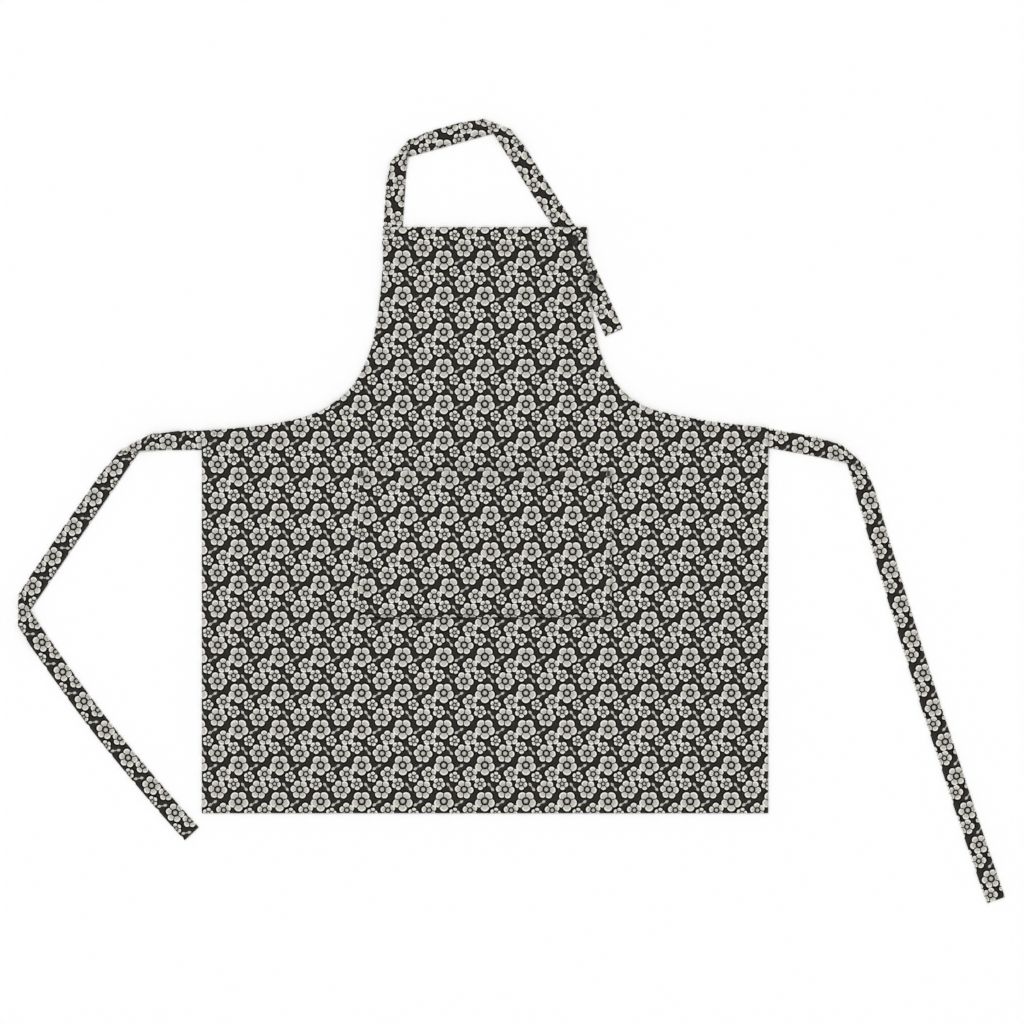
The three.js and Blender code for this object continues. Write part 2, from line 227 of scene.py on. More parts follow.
# Two small pointed leaves with a dot between them
leaf_pair, given, out = new_group(
    "Leaf pair", (("Place", "Vector"), ("Turn", "Float")), (("Ink", "Float"), ("Halo", "Float"))
)
turned = leaf_pair.nodes.new("ShaderNodeVectorRotate")
turned.rotation_type = "Z_AXIS"
wire(given["Place"], turned.inputs["Vector"])
wire(given["Turn"], turned.inputs["Angle"])
place = parted(vector_calc("ABSOLUTE", turned.outputs["Vector"]))
along_leaf = calc("SUBTRACT", place["X"], LEAF["from_dot"])
taper = calc("POWER", calc("DIVIDE", along_leaf, LEAF["half_length"]), 2.0)
half_leaf = calc("MULTIPLY_ADD", taper, -LEAF["half_width"], LEAF["half_width"])
in_leaf = calc("SUBTRACT", half_leaf, place["Y"])
in_dot = calc("SUBTRACT", LEAF["dot"], vector_calc("LENGTH", given["Place"]))
in_either = calc("MAXIMUM", in_leaf, in_dot)
wire(soft_step(in_either, -PETAL["blur"], PETAL["blur"]), out["Ink"])
wire(soft_step(in_either, *LEAF_OUTLINE), out["Halo"])

# The whole design, repeated over the cloth, with edges that bleed a little into the threads
tossed_print, given, out = new_group(
    "Tossed blossom print",
    (("Cloth", "Vector"), *((label, "Color") for label in PRINT_COLOURS)),
    (("Color", "Color"), ("Ink", "Float")),
)
millimetres = vector_calc("MULTIPLY", given["Cloth"], (1000, 1000, 0))
printed_at = wandering(millimetres, given["Cloth"], **PRINT_BLEED)
half_repeat = (PRINT_REPEAT[0] / 2, PRINT_REPEAT[1] / 2, 1)
ink = 0.0
rim = 0.0
halo = 0.0
for row in BLOSSOMS + LEAF_PAIRS:
    shifted = vector_calc("SUBTRACT", printed_at, (*row["at"], 0))
    sizes = {"Place": vector_calc("WRAP", shifted, half_repeat, tuple(-x for x in half_repeat))}
    sizes["Turn"] = row["turn"]
    if "petals" in row:
        motif = use_group(blossom, Radius=row["radius"], Petals=row["petals"], **sizes)
        rim = calc("MAXIMUM", rim, calc("MULTIPLY", motif["Rim"], motif["Ink"]))
    else:
        motif = use_group(leaf_pair, **sizes)
    ink = calc("MAXIMUM", ink, motif["Ink"])
    halo = calc("MAXIMUM", halo, motif["Halo"])
lined = mix_colour(halo, given["Ground"], given["Line"])
light = mix_colour(rim, given["Petal"], given["Petal edge"])
wire(mix_colour(ink, lined, light), out["Color"])
wire(ink, out["Ink"])

# Plain weave: threads over and under each other, a little uneven, each with its own shade and slubs
cotton_weave, given, out = new_group(
    "Cotton weave",
    (("Cloth", "Vector"), ("Pitch", "Float")),
    (("Height", "Float"), ("Shade", "Float"), ("Slub", "Float")),
)
threads = wandering(given["Cloth"], given["Cloth"], **THREAD_WANDER)
threads = vector_calc("DIVIDE", threads, given["Pitch"])
half_turns = vector_calc("MULTIPLY", threads, (math.pi, math.pi, 0))
waves = parted(vector_calc("SINE", half_turns))
crossing = calc("MULTIPLY", waves["X"], waves["Y"])
crown = calc("POWER", calc("ABSOLUTE", crossing), WEAVE["roundness"])
wire(crown, out["Height"])
counted = parted(vector_calc("FLOOR", threads))
shades = []
for axis in ("X", "Y"):
    own_shade = cotton_weave.nodes.new("ShaderNodeTexWhiteNoise")
    own_shade.noise_dimensions = "1D"
    wire(counted[axis], own_shade.inputs["W"])
    shades.append(own_shade.outputs["Value"])
on_top = soft_step(crossing, -WEAVE["crossing"], WEAVE["crossing"])
between = calc("SUBTRACT", shades[1], shades[0])
wire(calc("MULTIPLY_ADD", between, on_top, shades[0]), out["Shade"])
stretched = vector_calc("MULTIPLY", given["Cloth"], (1, SLUBS["along"], 1))
slubs = cloudy(stretched, SLUBS["scale"], SLUBS["detail"])["Fac"]
wire(slubs, out["Slub"])


def cotton_material(name, colours):
    material, tree, surface = new_material(name, COTTON_FINISH)
    cloth = tree.nodes.new("ShaderNodeUVMap").outputs["UV"]
    tints = {label: (*colour, 1) for label, colour in colours.items()}
    design = use_group(tossed_print, Cloth=cloth, **tints)
    weave = use_group(cotton_weave, Cloth=cloth, Pitch=WEAVE["pitch"])
    colour = design["Color"]
    # The weave's height paints shade into the colour between the threads; the yarn shade and slubs are
    # real tone.
    for row in WEAVE_TONE_AND_PAINTED_SHADE:
        shade = calc("MULTIPLY_ADD", weave[row["effect"]], row["gain"], row["least"])
        colour = vector_calc("MULTIPLY", colour, shade)
    wire(colour, surface["Base Color"])
    rough = calc("MULTIPLY_ADD", design["Ink"], COTTON_ROUGHNESS["ink"], COTTON_ROUGHNESS["bare"])
    rough = calc("MULTIPLY_ADD", weave["Slub"], COTTON_ROUGHNESS["slub"], rough)
    wire(rough, surface["Roughness"])
    wire(bumped(weave["Height"], **WEAVE_RELIEF), surface["Normal"])
    return material


printed_cotton = cotton_material("printed cotton", PRINT_COLOURS)
cotton_back = cotton_material("cotton back", BACK_COLOURS)


# Apron panel
# Bib and skirt cut as one cloth, its edges turned twice to the back and stitched. The straps' ends are
# sewn beneath it, so it rides over them and the spare button, and a buttonhole is worked in the bib.
CLOTH = 0.0010
HEMMED = 0.0020
GAP = 0.0003
(panel_left, panel_hem, _), (panel_right, panel_top, _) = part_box("apron_panel")
PANEL_HEMS = {"top": 0.028, "armhole": 0.009, "side": 0.014, "bottom": 0.022}
ARMHOLE = (
    {"half": 0.144, "left": 0.249, "right": 0.249},
    {"half": 0.1475, "left": 0.210, "right": 0.210},
    {"half": 0.1526, "left": 0.170, "right": 0.170},
    {"half": 0.1625, "left": 0.1255, "right": 0.125},
    {"half": 0.1852, "left": 0.0796, "right": 0.080},
    {"half": 0.220, "left": 0.0487, "right": 0.0506},
    {"half": 0.2643, "left": 0.0302, "right": 0.0366},
    {"half": 0.3279, "left": 0.0193, "right": 0.0254},
    {"half": 0.400, "left": 0.0134, "right": 0.0174},
)
ARMHOLE_STEPS = 24
EDGE_SPACING = 0.0032
PANEL_GRID = 0.0065
STITCH_IN = 0.0020
GROOVE_WIDTH = 0.0011
GROOVE_DEPTH = 0.0003
HEM_STEP = 0.0040
EDGE_ROLL = 0.0010
ROWS_FROM_EDGE = (0.0002, 0.0006, EDGE_ROLL, 0.0030)
ROWS_FROM_HEM = (-0.0035, -0.0026, -STITCH_IN, -0.0014, -0.0005, 0.0012, 0.0025, 0.0045)
ROWS_ROUND_HOLE = (0.0003, 0.0010, 0.0020)
ROWS_APART = 0.00015
PANEL_SLACK = (
    {"waves": 8, "size": 0.0026, "seed": 1.0, "squash": 0.6},
    {"waves": 21, "size": 0.0011, "seed": 2.0, "squash": 0.7},
)
HEM_SLACK = {"share": 0.3, "fade": 0.060}
HEM_PUCKER = {"waves": 110, "size": 0.0005, "seed": 3.0}
WELD = 1e-6
STRAIGHT = 1e-12

# Each strap from its sewn end to its free end. At each point the next length lies over or under
# the last one, or bends in the plane. Bow is the sideways swing of the length that leads there, where
# it has one, and pinch is how far the cloth is drawn in where it turns over.
STRAP_WIDTH = 0.027
STRAP_THICK = 0.0016
NECK_STRAP = (
    {"x": -0.1318, "y": 0.275, "turn": "end"},
    {"x": -0.1228, "y": 0.4105, "turn": "under", "pinch": 0.0046},
    {"x": 0.0181, "y": 0.449, "turn": "over", "pinch": 0.0042},
    {"x": 0.1244, "y": 0.2822, "turn": "bend"},
    {"x": 0.1823, "y": 0.1523, "turn": "end"},
)
WAIST_TIE_LEFT = (
    {"x": -0.380, "y": 0, "turn": "end"},
    {"x": -0.4949, "y": -0.0011, "turn": "under", "pinch": 0.0040},
    {"x": -0.6593, "y": -0.240, "turn": "over", "pinch": 0.0016},
    {"x": -0.4145, "y": -0.556, "turn": "end", "bow": -0.0085},
)
WAIST_TIE_RIGHT = (
    {"x": 0.380, "y": 0.0067, "turn": "end"},
    {"x": 0.5218, "y": -0.0194, "turn": "under", "pinch": 0.0042},
    {"x": 0.7219, "y": -0.650, "turn": "end", "bow": -0.0045},
)
CARRY_SPARE = 0.004
CARRY_HALF = STRAP_WIDTH / 2 + CARRY_SPARE
CARRY_FADE = 0.022
BUTTON_HEIGHT = 0.0028
BUTTON_CLEAR = 0.0085
BUTTON_FADE = 0.032
SPARE_BUTTON = np.array((0.1494, 0.2291))
SPARE_SHANK = 0.0006
SPARE_SEAT = STRAP_THICK + GAP + SPARE_SHANK + GAP
BUTTONHOLE = {"length": 0.017, "width": 0.0030, "below": 0.0055, "round_shank": 0.0045, "ends": 0.15}
BUTTONHOLE_POINTS = 40


def ease(share):
    s = np.clip(share, 0, 1)
    return s * s * (3 - 2 * s)


def quarter_round(share):
    return np.sqrt(1 - (1 - share) ** 2)


def at_least(least, share):
    return least + (1 - least) * share


def in_plan(rows):
    return np.array([(row["x"], row["y"]) for row in rows])


def spline(points, steps):
    """Points of a smooth curve through the given ones, close together."""
    points = np.array(points)
    padded = np.vstack((points[:1], points, points[-1:]))
    drawn = []
    for a, b, c, d in zip(padded[:-3], padded[1:-2], padded[2:-1], padded[3:]):
        for s in np.arange(steps) / steps:
            curved = 2 * a - 5 * b + 4 * c - d + s * (3 * (b - c) + d - a)
            drawn.append(b + 0.5 * s * (c - a + s * curved))
    return np.vstack((drawn, points[-1:]))


def divided(points, spacing):
    """The same line with points at an even spacing."""
    points = np.array(points, float)
    runs = np.linalg.norm(np.diff(points, axis=0), axis=1)
    along = np.concatenate(([0], np.cumsum(runs)))
    stops = np.linspace(0, along[-1], max(1, round(along[-1] / spacing)) + 1)
    return np.column_stack([np.interp(stops, along, points[:, i]) for i in range(points.shape[1])])


def straight_edge(a, b):
    return divided([a, b], EDGE_SPACING)


def left_of(line):
    """Unit vectors to the left of a line at its points."""
    along = np.gradient(line, axis=0)
    along /= np.linalg.norm(along, axis=1)[:, None]
    return np.column_stack((-along[:, 1], along[:, 0]))


def distance_to(line, points):
    """Distance of each point from a line, taken from bend to bend."""
    steps = np.diff(line, axis=0)
    bends = np.abs(steps[:-1, 0] * steps[1:, 1] - steps[:-1, 1] * steps[1:, 0]) > STRAIGHT
    corners = line[np.concatenate(([True], bends, [True]))]
    nearest = np.full(len(points), np.inf)
    for a, b in zip(corners[:-1], corners[1:]):
        share = np.clip(((points - a) @ (b - a)) / ((b - a) @ (b - a)), 0, 1)
        nearest = np.minimum(nearest, np.linalg.norm(points - a - share[:, None] * (b - a), axis=1))
    return nearest


def distance_to_any(lines, points):
    return np.min([distance_to(line, points) for line in lines], axis=0)


def within(outline, points):
    """Which points lie inside a closed outline."""
    odd = np.zeros(len(points), bool)
    x, y = points.T
    for (ax, ay), (bx, by) in zip(outline, np.roll(outline, -1, axis=0)):
        if ay != by:
            crosses = (ay > y) != (by > y)
            odd ^= crosses & (x < ax + (y - ay) * (bx - ax) / (by - ay))
    return odd


def ripple(points, waves, size, seed, squash=1):
    """Soft unevenness from 0 to size, with about that many waves in a metre."""
    places = points * (waves, waves * squash)
    return size / 2 * np.array([1 + noise.noise((x, y, seed)) for x, y in places])


CARRIED_OVER = [
    in_plan(rows) for rows in (NECK_STRAP[:2], NECK_STRAP[2:], WAIST_TIE_LEFT[:2], WAIST_TIE_RIGHT[:2])
]


def panel_back(points):
    """Height of the panel's back: near the floor, and over the straps and the spare button."""
    from_hems = np.minimum(panel_right - np.abs(points[:, 0]), points[:, 1] - panel_hem)
    loose = at_least(HEM_SLACK["share"], ease(from_hems / HEM_SLACK["fade"]))
    slack = loose * sum(ripple(points, **row) for row in PANEL_SLACK)
    over_strap = ease(1 - (distance_to_any(CARRIED_OVER, points) - CARRY_HALF) / CARRY_FADE)
    lying = slack + over_strap * (STRAP_THICK + 2 * GAP - slack)
    from_button = np.linalg.norm(points - SPARE_BUTTON, axis=1)
    over_button = ease(1 - (from_button - BUTTON_CLEAR) / BUTTON_FADE)
    return lying + over_button * (SPARE_SEAT + BUTTON_HEIGHT + GAP - lying)


def cloth_heights(points, edges, back, hole=None):
    """Heights of a hemmed cloth's front and back, given its edges and their hem widths."""
    away = np.array([distance_to(line, points) for line, _ in edges])
    from_hem = away - np.array([hem for _, hem in edges])[:, None]
    doubled = 1 - ease(from_hem / HEM_STEP).min(axis=0)
    groove = np.exp(-(((from_hem + STITCH_IN) / GROOVE_WIDTH) ** 2)).max(axis=0)
    nearest = away.min(axis=0)
    if hole is not None:
        nearest = np.minimum(nearest, distance_to(hole, points))
    roll = np.clip(nearest / EDGE_ROLL, 0, 1)
    thick = CLOTH + (HEMMED - CLOTH) * doubled
    half = thick / 2 * quarter_round(roll)
    pucker = doubled * (ripple(points, **HEM_PUCKER) - HEM_PUCKER["size"] / 2)
    middle = back + thick / 2
    return middle + half + roll * (pucker - GROOVE_DEPTH * groove), middle - half


def cloth_plan(edges, grid, hole):
    """Points and triangles of a flat cloth: rows along its edges and hems, and a grid between them."""
    outline = np.vstack([line[:-1] for line, _ in edges])
    rows = []
    for line, hem in edges:
        for inset in (*ROWS_FROM_EDGE, *(hem + step for step in ROWS_FROM_HEM)):
            rows.append(line + left_of(line) * inset)
    left, low = outline.min(axis=0)
    right, high = outline.max(axis=0)
    x, y = np.meshgrid(np.arange(left, right, grid), np.arange(low, high, grid))
    x[1::2] += grid / 2
    inner = np.vstack((*rows, np.column_stack((x.ravel(), y.ravel()))))
    inner = inner[within(outline, inner)]
    inner = inner[distance_to_any([line for line, _ in edges], inner) > ROWS_APART]
    loops = [outline]
    if hole is not None:
        loops.append(hole[:-1])
        inner = inner[~within(hole, inner) & (distance_to(hole, inner) > ROWS_ROUND_HOLE[0])]
        inner = np.vstack((inner, *((hole - left_of(hole) * step)[:-1] for step in ROWS_ROUND_HOLE)))
    cuts = []
    count = 0
    for loop in loops:
        numbers = list(range(count, count + len(loop)))
        cuts += zip(numbers, numbers[1:] + numbers[:1])
        count += len(loop)
    corners = [Vector(p) for p in np.vstack((*loops, inner))]
    keep_inside = 1
    flat, _, triangles, *_ = delaunay_2d_cdt(corners, cuts, [range(len(outline))], keep_inside, WELD)
    flat = np.array([tuple(p) for p in flat])
    triangles = np.array(triangles)
    if hole is not None:
        triangles = triangles[~within(hole, flat[triangles].mean(axis=1))]
    return flat, triangles


def laid_piece(name, points, faces, materials):
    mesh = bpy.data.meshes.new(name)
    mesh.from_pydata(points, [], faces)
    mesh.polygons.foreach_set("use_smooth", np.ones(len(faces), bool))
    for material in materials:
        mesh.materials.append(material)
    piece = bpy.data.objects.new(name, mesh)
    bpy.context.collection.objects.link(piece)
    return piece


def put_on_cloth(piece, places):
    """A UV map that gives each point of a piece its place on the flat printed cloth."""
    corners = np.empty(len(piece.data.loops), int)
    piece.data.loops.foreach_get("vertex_index", corners)
    piece.data.uv_layers.new(name="cloth").data.foreach_set("uv", places[corners].ravel())


def hemmed_cloth(name, edges, back, print_shift, grid, hole=None):
    """A closed sheet inside the edges, rolled at its rim and doubled along its hems."""
    flat, triangles = cloth_plan(edges, grid, hole)
    front, behind = cloth_heights(flat, edges, back(flat), hole)
    lines = [line for line, _ in edges]
    rims = lines if hole is None else [*lines, hole]
    inside = distance_to_any(rims, flat) > WELD
    under = np.arange(len(flat))
    under[inside] = len(flat) + np.arange(inside.sum())
    points = np.vstack((np.column_stack((flat, front)), np.column_stack((flat, behind))[inside]))
    faces = np.vstack((triangles, under[triangles[:, ::-1]]))
    piece = laid_piece(name, points.tolist(), faces.tolist(), (printed_cotton, cotton_back))
    put_on_cloth(piece, points[:, :2] + print_shift)
    middles = flat[triangles].mean(axis=1)
    turned_in = np.any([distance_to(line, middles) < hem for line, hem in edges], axis=0)
    finish = np.concatenate((np.zeros(len(triangles), int), np.where(turned_in, 0, 1)))
    piece.data.polygons.foreach_set("material_index", finish)
    piece.data.update()
    return piece


def front_of(edges, back, points):
    """The points in plan, brought up to a cloth's front."""
    return np.column_stack((points, cloth_heights(points, edges, back(points))[0]))


def bib_and_armhole(name, side):
    """The edge from the bib's top corner down to the skirt's, on one side."""
    armhole = spline([(side * row["half"], row[name]) for row in ARMHOLE], ARMHOLE_STEPS)
    bib = straight_edge((armhole[0][0], panel_top), armhole[0])
    return np.vstack((bib[:-1], divided(armhole, EDGE_SPACING)))


left_armhole = bib_and_armhole("left", -1)
right_armhole = bib_and_armhole("right", 1)
left_corner = (panel_left, panel_hem)
right_corner = (panel_right, panel_hem)
panel_edges = [
    (straight_edge(right_armhole[0], left_armhole[0]), PANEL_HEMS["top"]),
    (left_armhole, PANEL_HEMS["armhole"]),
    (straight_edge(left_armhole[-1], left_corner), PANEL_HEMS["side"]),
    (straight_edge(left_corner, right_corner), PANEL_HEMS["bottom"]),
    (straight_edge(right_corner, right_armhole[-1]), PANEL_HEMS["side"]),
    (right_armhole[::-1], PANEL_HEMS["armhole"]),
]

# The buttonhole opens round the button's shank and narrows to its ends
shank_at, tail_end = in_plan(NECK_STRAP[3:])
along_way = (tail_end - shank_at) / np.linalg.norm(tail_end - shank_at)
across_way = np.array((-along_way[1], along_way[0]))
round_slit = np.linspace(0, 2 * math.pi, BUTTONHOLE_POINTS, endpoint=False)
slit_along = BUTTONHOLE["below"] + BUTTONHOLE["length"] / 2 * np.cos(round_slit)
slit_open = at_least(BUTTONHOLE["ends"], np.exp(-((slit_along / BUTTONHOLE["round_shank"]) ** 2)))
slit_across = BUTTONHOLE["width"] / 2 * np.sin(round_slit) * slit_open
slit = shank_at + slit_along[:, None] * along_way + slit_across[:, None] * across_way
slit = np.vstack((slit, slit[:1]))


def stands_for(piece, node):
    """A piece takes the place of a solid: the solid is hidden and the piece is hung on the root."""
    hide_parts(node)
    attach(piece, "root")


panel = hemmed_cloth("panel_cloth", panel_edges, panel_back, (0, 0), PANEL_GRID, slit)
stands_for(panel, "apron_panel")


def panel_front(points):
    return front_of(panel_edges, panel_back, points)


# Panel stitching
# Charcoal sewing thread: a lockstitch row along the inner edge of every hem, a crossed box where
# each strap's end is sewn on, and close stitches round the buttonhole.
STITCH_PITCH = 0.0032
STITCH_SIZE = (0.0014, 0.00030, 0.00022)
STITCH_SIDES = 6
STITCH_RINGS = 4
THREAD_GAP = GAP / 3
BUTTONHOLE_STITCH = {"size": (0.0010, 0.00034, 0.00028), "apart": 0.0006, "outward": 0.0010}
STRAP_TACKS = (
    {"at": (-0.1311, 0.2855), "way": 1.50, "length": 0.017, "width": 0.020},
    {"at": (-0.3880, 0.0000), "way": 0.00, "length": 0.013, "width": 0.021},
    {"at": (0.3880, 0.0050), "way": -0.19, "length": 0.013, "width": 0.021},
)
UPWARD = (0.0, 0.0, 1.0)
DOWNWARD = (0.0, 0.0, -1.0)
THREAD_COLOURS = ((0.016, 0.015, 0.013), (0.050, 0.047, 0.041))
THREAD_TWIST = {"Scale": 3, "Distortion": 0.6}
THREAD_ROUGHNESS = {"groove": 0.70, "ply": -0.15}
THREAD_RELIEF = {"strength": 0.5, "distance": 0.0001}
THREAD_FINISH = {"Sheen Weight": 0.1}

sewing_thread, tree, surface = new_material("sewing thread", THREAD_FINISH)
twist = tree.nodes.new("ShaderNodeTexWave")
twist.bands_direction = "DIAGONAL"
wire_all(THREAD_TWIST, twist.inputs)
wire(tree.nodes.new("ShaderNodeUVMap").outputs["UV"], twist.inputs["Vector"])
plies = twist.outputs["Fac"]
wire(mix_colour(plies, *THREAD_COLOURS), surface["Base Color"])
rough = calc("MULTIPLY_ADD", plies, THREAD_ROUGHNESS["ply"], THREAD_ROUGHNESS["groove"])
wire(rough, surface["Roughness"])
wire(bumped(plies, **THREAD_RELIEF), surface["Normal"])

# One stitch, lying along X
bpy.ops.mesh.primitive_uv_sphere_add(segments=STITCH_SIDES, ring_count=STITCH_RINGS, radius=1)
bpy.ops.transform.rotate(value=math.pi / 2, orient_axis="Y", center_override=(0, 0, 0))
bpy.ops.object.transform_apply(rotation=True)
stitch = bpy.context.object
stitch_points = np.array([v.co for v in stitch.data.vertices])
stitch_faces = [list(f.vertices) for f in stitch.data.polygons]
stitch_uv = np.array([d.uv for d in stitch.data.uv_layers.active.data])
bpy.data.objects.remove(stitch)


def unit(vectors):
    return vectors / np.linalg.norm(vectors, axis=1)[:, None]


def stitches_along(line, upward=UPWARD):
    """Middles, directions and upward side of a row of stitches along a line in space."""
    line = divided(line, STITCH_PITCH)
    return (line[1:] + line[:-1]) / 2, unit(np.diff(line, axis=0)), upward


def sewn_on(front, line):
    """A row of stitches along a line in plan, on the front of a cloth."""
    return stitches_along(front(divided(line, STITCH_PITCH)))


def sew(name, rows, size=STITCH_SIZE):
    """All the stitches of some rows, as one piece of thread."""
    filled_rows = [np.broadcast_arrays(*row) for row in rows]
    middles, along, up = (np.vstack(part) for part in zip(*filled_rows))
    sideways = unit(np.cross(up, along))
    ways = np.stack((along, sideways, np.cross(along, sideways)), axis=1)
    points = middles[:, None] + (stitch_points * size) @ ways
    count = len(stitch_points)
    faces = [[i * count + v for v in face] for i in range(len(middles)) for face in stitch_faces]
    piece = laid_piece(name, points.reshape(-1, 3).tolist(), faces, (sewing_thread,))
    twisted = np.tile(stitch_uv, (len(middles), 1))
    piece.data.uv_layers.new(name="thread").data.foreach_set("uv", twisted.ravel())
    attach(piece, "root")
    return piece


def crossed_box(at, way, length, width):
    """The four sides and two diagonals of a sewn box, in plan."""
    along = np.array((math.cos(way), math.sin(way))) * length / 2
    aside = np.array((-math.sin(way), math.cos(way))) * width / 2
    a = at - along - aside
    b = at + along - aside
    c = at + along + aside
    d = at - along + aside
    return [np.array(pair) for pair in ((a, b), (b, c), (c, d), (d, a), (a, c), (b, d))]


hem_rows = [line + left_of(line) * (hem - STITCH_IN) for line, hem in panel_edges]
tack_rows = [line for row in STRAP_TACKS for line in crossed_box(**row)]
panel_rows = [sewn_on(panel_front, line) for line in hem_rows + tack_rows]
for line in hem_rows:
    behind = cloth_heights(line, panel_edges, panel_back(line))[1]
    panel_rows.append(stitches_along(np.column_stack((line, behind + THREAD_GAP)), DOWNWARD))
panel_stitching = sew("panel_stitching", panel_rows)

slit_rim = divided(slit, BUTTONHOLE_STITCH["apart"])
outward = -left_of(slit_rim)
slit_middles = panel_front(slit_rim + outward * BUTTONHOLE_STITCH["outward"])
slit_ways = np.column_stack((outward, np.zeros(len(outward))))
slit_row = (slit_middles, slit_ways, UPWARD)
buttonhole_stitching = sew("buttonhole_stitching", [slit_row], BUTTONHOLE_STITCH["size"])


# Patch pocket
# A rectangle of the same cotton with a wide hem at its mouth, its other edges turned under and sewn to
# the skirt with two rows. Its print does not meet the panel's, and its mouth stands open a little.
(pocket_left, pocket_bottom, _), (pocket_right, pocket_top, _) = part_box("pocket")
POCKET_HEMS = {"mouth": 0.024, "side": 0.010, "bottom": 0.010}
POCKET_GAPE = 0.008
POCKET_CURVE = 1.5
POCKET_SWAY = {"waves": 11, "size": 0.70, "seed": 6.0, "squash": 0.2}
MOUTH_RIPPLE = {"waves": 14, "size": 0.0022, "seed": 5.0}
POCKET_PRINT_SHIFT = (0.0500, 0.0040)
POCKET_ROWS_IN = (0.002, 0.0075)
POCKET_GRID = 0.0060
BAR_TACK = {"size": (0.0032, 0.00030, 0.00026), "in": 0.0047, "from": 0.0010, "to": 0.0080, "stitches": 14}
SIDEWAYS = (1.0, 0.0, 0.0)

mouth = straight_edge((pocket_right, pocket_top), (pocket_left, pocket_top))
mouth[1:-1, 1] -= ripple(mouth[1:-1], **MOUTH_RIPPLE)
low_left = (pocket_left, pocket_bottom)
low_right = (pocket_right, pocket_bottom)
pocket_edges = [
    (mouth, POCKET_HEMS["mouth"]),
    (straight_edge(mouth[-1], low_left), POCKET_HEMS["side"]),
    (straight_edge(low_left, low_right), POCKET_HEMS["bottom"]),
    (straight_edge(low_right, mouth[0]), POCKET_HEMS["side"]),
]


def pocket_back(points):
    """Height of the pocket's back: on the panel at its seams, highest in the middle of its mouth."""
    seam = pocket_right - POCKET_HEMS["side"]
    foot = pocket_bottom + POCKET_HEMS["bottom"]
    across = np.maximum(0, 1 - (points[:, 0] / seam) ** 2) ** POCKET_CURVE
    up = np.maximum(0, (points[:, 1] - foot) / (pocket_top - foot)) ** POCKET_CURVE
    sway = 1 + ripple(points, **POCKET_SWAY) - POCKET_SWAY["size"] / 2
    return panel_back(points) + CLOTH + GAP / 2 + POCKET_GAPE * across * up * sway


def pocket_front(points):
    return front_of(pocket_edges, pocket_back, points)


pocket = hemmed_cloth("pocket_cloth", pocket_edges, pocket_back, POCKET_PRINT_SHIFT, POCKET_GRID)
stands_for(pocket, "pocket")

mouth_seam = pocket_top - POCKET_HEMS["mouth"] + STITCH_IN
pocket_lines = [((pocket_left, mouth_seam), (pocket_right, mouth_seam))]
for inset in POCKET_ROWS_IN:
    left = pocket_left + inset
    right = pocket_right - inset
    low = pocket_bottom + inset
    corners = ((left, pocket_top), (left, low), (right, low), (right, pocket_top))
    pocket_lines += zip(corners[:-1], corners[1:])
pocket_stitching = sew("pocket_stitching", [sewn_on(pocket_front, line) for line in pocket_lines])

tack_heights = pocket_top - np.linspace(BAR_TACK["to"], BAR_TACK["from"], BAR_TACK["stitches"])
bar_rows = []
for corner in (pocket_left + BAR_TACK["in"], pocket_right - BAR_TACK["in"]):
    bars = np.column_stack((np.full(len(tack_heights), corner), tack_heights))
    bar_rows.append((pocket_front(bars), SIDEWAYS, UPWARD))
bar_tacks = sew("pocket_bar_tacks", bar_rows, BAR_TACK["size"])


# Neck strap and waist ties
# Strips of the same cotton folded lengthwise with the raw edges inside, and stitched close to both
# edges. They lie on the floor, pressed to a sharp crease where they turn over, and bend at the button.
FOLD_RADIUS = 0.0011
FOLD_CLEAR = 0.017
FOLD_RELAX = 0.015
FOLD_ROWS = 12
PINCH_FADE = 0.020
CREASE_ROUND = {"reach": 0.006, "tip": 0.2}
BEND_EASE = 0.060
ROW_SPACING = 0.0026
EDGE_STEPS = (0, 0.0002, 0.0006, 0.0010, 0.0016, 0.0022, 0.0028, 0.0045, 0.0090)
END_ROWS = EDGE_STEPS[:4]
STRAP_STITCH_IN = 0.0022
STRAP_GROOVE = {"width": 0.0009, "depth": 0.0002}
THREAD_SEAT = 0.95 * STRAP_THICK / 2
STRAP_WOBBLE = {"waves": 9, "size": 0.0004, "seed": 7.0}
STRAP_LIFT = {"waves": 16, "size": 0.0003, "seed": 8.0}
STRAPS_APART = 50
STRAPS = (
    {"piece": "neck_strap_cloth", "node": "neck_strap", "points": NECK_STRAP},
    {"piece": "left_tie_cloth", "node": "waist_tie_left", "points": WAIST_TIE_LEFT},
    {"piece": "right_tie_cloth", "node": "waist_tie_right", "points": WAIST_TIE_RIGHT},
)


def only_select(piece):
    bpy.ops.object.select_all(action="DESELECT")
    bpy.context.view_layer.objects.active = piece
    piece.select_set(True)


def clamped(share):
    return min(max(share, 0.0), 1.0)


